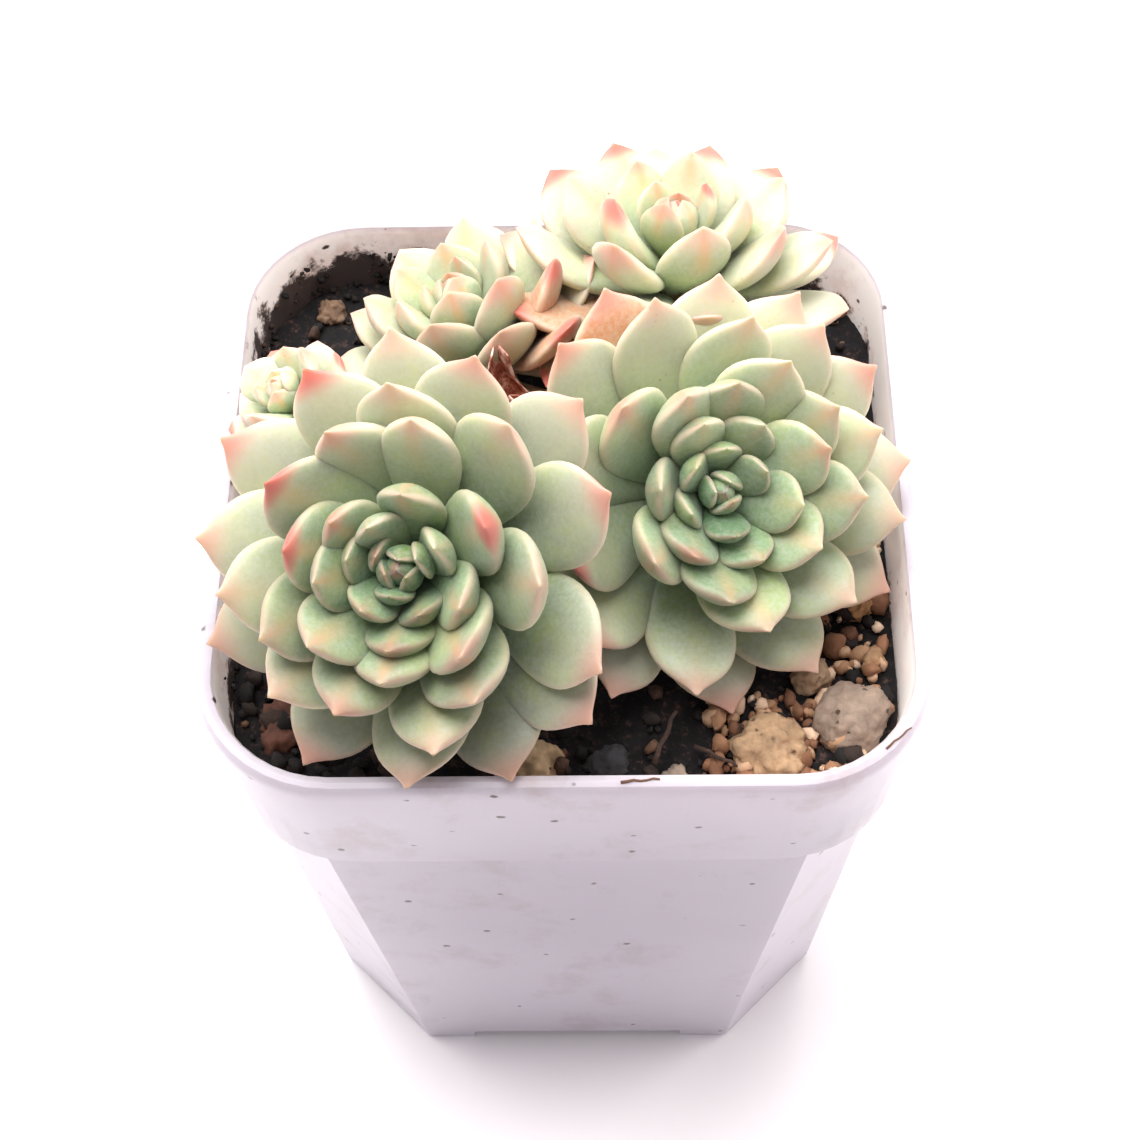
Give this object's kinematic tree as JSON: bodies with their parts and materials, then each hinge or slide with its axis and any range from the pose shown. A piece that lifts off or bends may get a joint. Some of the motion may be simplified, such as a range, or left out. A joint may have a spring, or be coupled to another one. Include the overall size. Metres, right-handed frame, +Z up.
{
  "type": "potted succulent",
  "caption": "Square tapered plastic nursery pot of peat mix and loose gravel, holding a cluster of fleshy-leaved rosettes on short stems.",
  "frame": {"origin": "on the ground under the middle of the square pot", "axes": "+Z up out of the pot, -Y towards the front wall, +X to the right"},
  "size_m": [0.07, 0.0718, 0.1061],
  "materials": {
    "pot_plastic": "moulded white polypropylene, satin gloss",
    "potting_mix": "damp dark peat mix",
    "outer_leaves": "waxy leaf with powdery bloom, pink tips",
    "inner_leaves": "waxy leaf with powdery bloom",
    "heart_leaves": "waxy young leaf",
    "stem_skin": "fleshy stem with corky skin",
    "dry_leaf": "dried papery leaf",
    "pumice_gravel": "rough porous pumice and akadama",
    "dark_stone": "dark cinder",
    "bark": "composted bark"
  },
  "bodies": {
    "root": {"pot": "pot_plastic", "front_left_heart": "heart_leaves", "front_left_leaves_7": "inner_leaves", "front_left_leaves_6": "inner_leaves", "front_left_leaves_5": "inner_leaves", "front_left_leaves_4": "inner_leaves", "front_left_leaves_3": "inner_leaves", "front_left_leaves_2": "outer_leaves", "front_left_leaves_1": "outer_leaves", "front_right_heart": "heart_leaves", "front_right_leaves_7": "inner_leaves", "front_right_leaves_6": "inner_leaves", "front_right_leaves_5": "inner_leaves", "front_right_leaves_4": "inner_leaves", "front_right_leaves_3": "inner_leaves", "front_right_leaves_2": "outer_leaves", "front_right_leaves_1": "outer_leaves", "back_right_heart": "heart_leaves", "back_right_leaves_5": "inner_leaves", "back_right_leaves_4": "inner_leaves", "back_right_leaves_3": "inner_leaves", "back_right_leaves_2": "outer_leaves", "back_right_leaves_1": "outer_leaves", "back_left_heart": "heart_leaves", "back_left_leaves_5": "inner_leaves", "back_left_leaves_4": "inner_leaves", "back_left_leaves_3": "inner_leaves", "back_left_leaves_2": "outer_leaves", "back_left_leaves_1": "outer_leaves", "small_left_heart": "heart_leaves", "small_left_leaves_2": "outer_leaves", "small_left_leaves_1": "outer_leaves", "front_left_stem": "stem_skin", "front_right_stem": "stem_skin", "back_right_stem": "stem_skin", "back_left_stem": "stem_skin", "small_left_stem": "stem_skin", "dried_leaf": "dry_leaf", "tan_stone_large": "pumice_gravel", "grey_stone_round": "pumice_gravel", "cream_stone": "pumice_gravel", "tan_stone_small": "pumice_gravel", "brown_stone_right": "pumice_gravel", "amber_gravel": "pumice_gravel", "cream_gravel": "pumice_gravel", "tan_stone_front": "pumice_gravel", "black_stone_front": "dark_stone", "grey_stone_front": "pumice_gravel", "bark_chip_left": "bark", "gravel_back_left": "pumice_gravel", "gravel_back_right": "pumice_gravel", "gravel_right_middle": "pumice_gravel", "soil": "potting_mix"}
  },
  "joints": []
}
